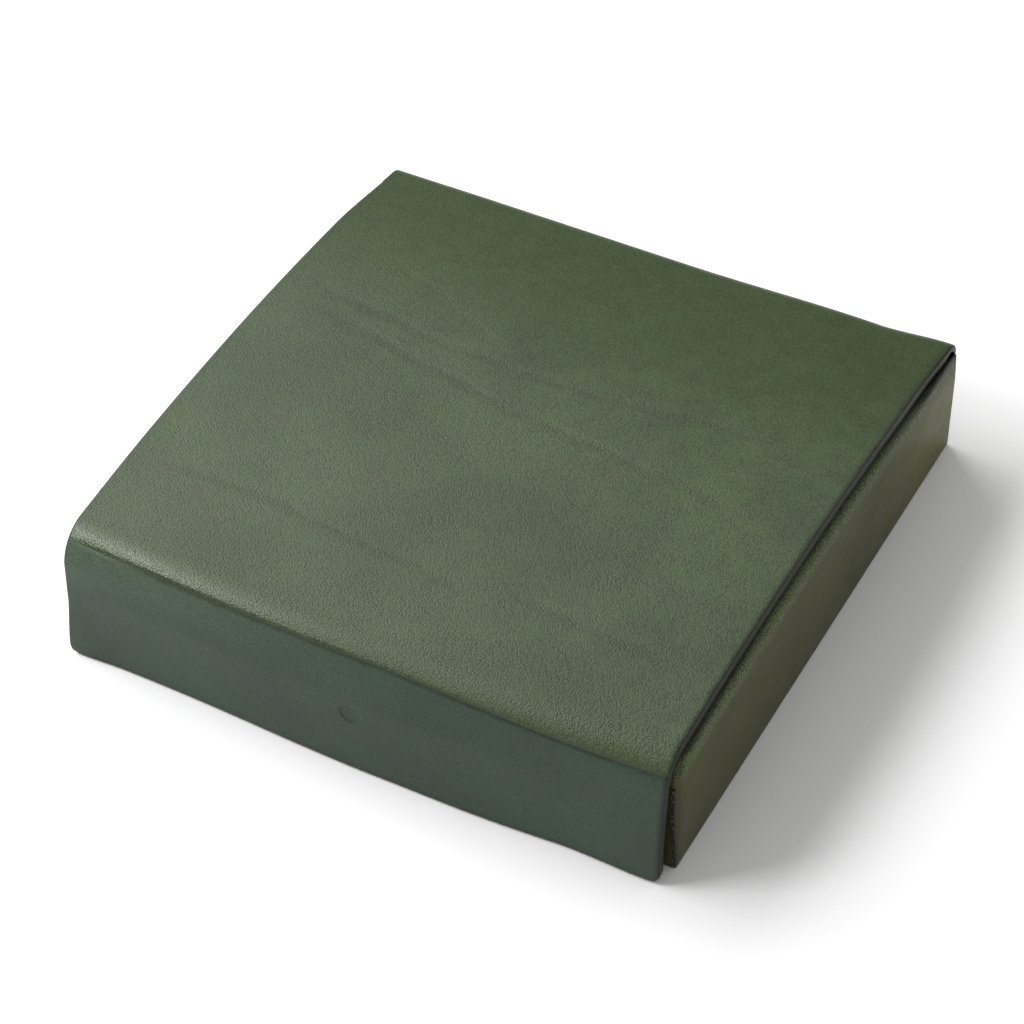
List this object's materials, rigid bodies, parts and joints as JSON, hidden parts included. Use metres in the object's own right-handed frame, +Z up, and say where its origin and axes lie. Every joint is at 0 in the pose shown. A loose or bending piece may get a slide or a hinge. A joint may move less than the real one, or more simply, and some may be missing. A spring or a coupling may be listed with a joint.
{
  "type": "leather jewellery case",
  "caption": "Low square jewellery case: a divided tray closed by one arched sheet of leather that folds at the back and bends down in front as a flap.",
  "frame": {"origin": "on the table, under the middle of the closed case's outline", "axes": "+X to the right along the front, +Y from the flap to the back, +Z up"},
  "size_m": [0.247, 0.257, 0.0615],
  "materials": {
    "green_leather": "satin",
    "cover_core": "matte",
    "suede_lining": "suede",
    "soft_roll": "suede",
    "board": "raw",
    "magnet": "plated"
  },
  "bodies": {
    "tray": {"base_board": "board", "base_leather": "green_leather", "front_board": "board", "back_board": "board", "front_leather": "green_leather", "back_leather": "green_leather", "right_side_board": "board", "left_side_board": "board", "right_side_leather": "green_leather", "left_side_leather": "green_leather", "right_lining": "suede_lining", "left_lining": "suede_lining", "front_lining": "suede_lining", "back_lining": "suede_lining", "floor_lining": "suede_lining", "long_divider": "suede_lining", "right_divider": "suede_lining", "left_divider": "suede_lining", "ring_roll_1": "soft_roll", "ring_roll_2": "soft_roll", "ring_roll_3": "soft_roll", "ring_roll_4": "soft_roll", "ring_roll_5": "soft_roll", "left_wall_magnet": "magnet", "right_wall_magnet": "magnet"},
    "lid": {"lid_leather": "green_leather", "lid_board": "cover_core", "lid_lining": "suede_lining", "hinge_strip": "green_leather"},
    "flap": {"flap_leather": "green_leather", "flap_board": "cover_core", "flap_lining": "suede_lining", "left_flap_magnet": "magnet", "right_flap_magnet": "magnet"}
  },
  "joints": [
    {"name": "lid_hinge", "type": "hinge", "parent": "tray", "child": "lid", "pos_m": [0, 0.1285, 0.04336], "axis": [-1, 0, 0], "range_deg": [0, 110]},
    {"name": "flap_fold", "type": "hinge", "parent": "lid", "child": "flap", "pos_m": [0, -0.12579, 0.05173], "axis": [-1, 0, 0], "range_deg": [0, 80]}
  ]
}
